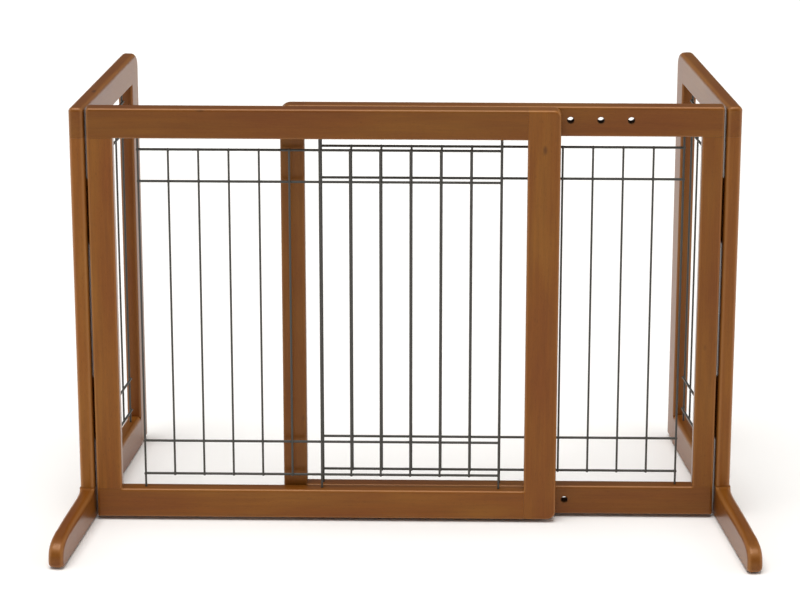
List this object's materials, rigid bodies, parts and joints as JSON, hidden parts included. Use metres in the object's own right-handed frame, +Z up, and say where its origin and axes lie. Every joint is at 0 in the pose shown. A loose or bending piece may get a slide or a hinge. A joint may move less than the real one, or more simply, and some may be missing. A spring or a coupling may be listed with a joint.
{
  "type": "pet gate",
  "caption": "Freestanding wooden pet gate: two wire-lattice frames slide past each other to set the width, with hinged side panels whose feet hold it upright.",
  "frame": {"origin": "middle of the footprint of the whole gate, on the floor", "axes": "+X along the gate's width to the right, +Y to the back, +Z up; the front faces -Y"},
  "size_m": [0.8204, 0.4686, 0.5065],
  "materials": {
    "wood": "brown stained hardwood under satin clear lacquer",
    "wire": "dark grey-brown powder coat, satin",
    "hinge_steel": "brass-plated steel, lightly dulled",
    "zinc_steel": "bright zinc plate",
    "knob_plastic": "fine moulded texture, black",
    "rubber": "matt",
    "dowel_beech": "plain unfinished beech"
  },
  "bodies": {
    "front_frame": {"front_top_rail": "wood", "front_bottom_rail": "wood", "front_hinge_stile": "wood", "front_end_stile": "wood", "front_lattice": "wire", "front_dowel_crossed_top": "dowel_beech", "front_dowel_crossed_bottom": "dowel_beech", "front_dowel_butt_top": "dowel_beech", "front_dowel_butt_bottom": "dowel_beech", "left_upper_hinge_frame_leaf": "hinge_steel", "left_upper_hinge_pin": "hinge_steel", "left_lower_hinge_frame_leaf": "hinge_steel", "left_lower_hinge_pin": "hinge_steel", "upper_insert": "zinc_steel", "lower_insert": "zinc_steel"},
    "rear_frame": {"rear_top_rail": "wood", "rear_bottom_rail": "wood", "rear_hinge_stile": "wood", "rear_end_stile": "wood", "rear_lattice": "wire", "rear_dowel_crossed_top": "dowel_beech", "rear_dowel_crossed_bottom": "dowel_beech", "rear_dowel_butt_top": "dowel_beech", "rear_dowel_butt_bottom": "dowel_beech", "right_upper_hinge_frame_leaf": "hinge_steel", "right_upper_hinge_pin": "hinge_steel", "right_lower_hinge_frame_leaf": "hinge_steel", "right_lower_hinge_pin": "hinge_steel"},
    "left_side": {"left_foot_rail": "wood", "left_top_rail": "wood", "left_front_stile": "wood", "left_back_stile": "wood", "left_lattice": "wire", "left_dowel_crossed_top": "dowel_beech", "left_dowel_crossed_bottom": "dowel_beech", "left_dowel_butt_top": "dowel_beech", "left_dowel_butt_bottom": "dowel_beech", "left_foot_pad": "rubber", "left_back_pad": "rubber", "left_upper_hinge_side_leaf": "hinge_steel", "left_lower_hinge_side_leaf": "hinge_steel"},
    "right_side": {"right_foot_rail": "wood", "right_top_rail": "wood", "right_front_stile": "wood", "right_back_stile": "wood", "right_lattice": "wire", "right_dowel_crossed_top": "dowel_beech", "right_dowel_crossed_bottom": "dowel_beech", "right_dowel_butt_top": "dowel_beech", "right_dowel_butt_bottom": "dowel_beech", "right_foot_pad": "rubber", "right_back_pad": "rubber", "right_upper_hinge_side_leaf": "hinge_steel", "right_lower_hinge_side_leaf": "hinge_steel"},
    "upper_clamp": {"upper_knob": "knob_plastic", "upper_bolt": "zinc_steel", "upper_washer": "zinc_steel"},
    "lower_clamp": {"lower_knob": "knob_plastic", "lower_bolt": "zinc_steel", "lower_washer": "zinc_steel"}
  },
  "joints": [
    {"name": "width_slide", "type": "slide", "parent": "front_frame", "child": "rear_frame", "axis": [1, 0, 0], "range_m": [-0.105, 0.245]},
    {"name": "left_side_hinge", "type": "hinge", "parent": "front_frame", "child": "left_side", "pos_m": [-0.3669, -0.05467, 0.25], "axis": [0, 0, -1], "range_deg": [-7.8, 73]},
    {"name": "right_side_hinge", "type": "hinge", "parent": "rear_frame", "child": "right_side", "pos_m": [0.3613, -0.03467, 0.25], "axis": [0, 0, 1], "range_deg": [-8.8, 72]},
    {"name": "upper_knob_turn", "type": "hinge", "parent": "rear_frame", "child": "upper_clamp", "pos_m": [0.1522, -0.03807, 0.49], "axis": [0, 1, 0], "continuous": true},
    {"name": "lower_knob_turn", "type": "hinge", "parent": "rear_frame", "child": "lower_clamp", "pos_m": [0.1522, -0.03807, 0.0225], "axis": [0, 1, 0], "continuous": true}
  ]
}
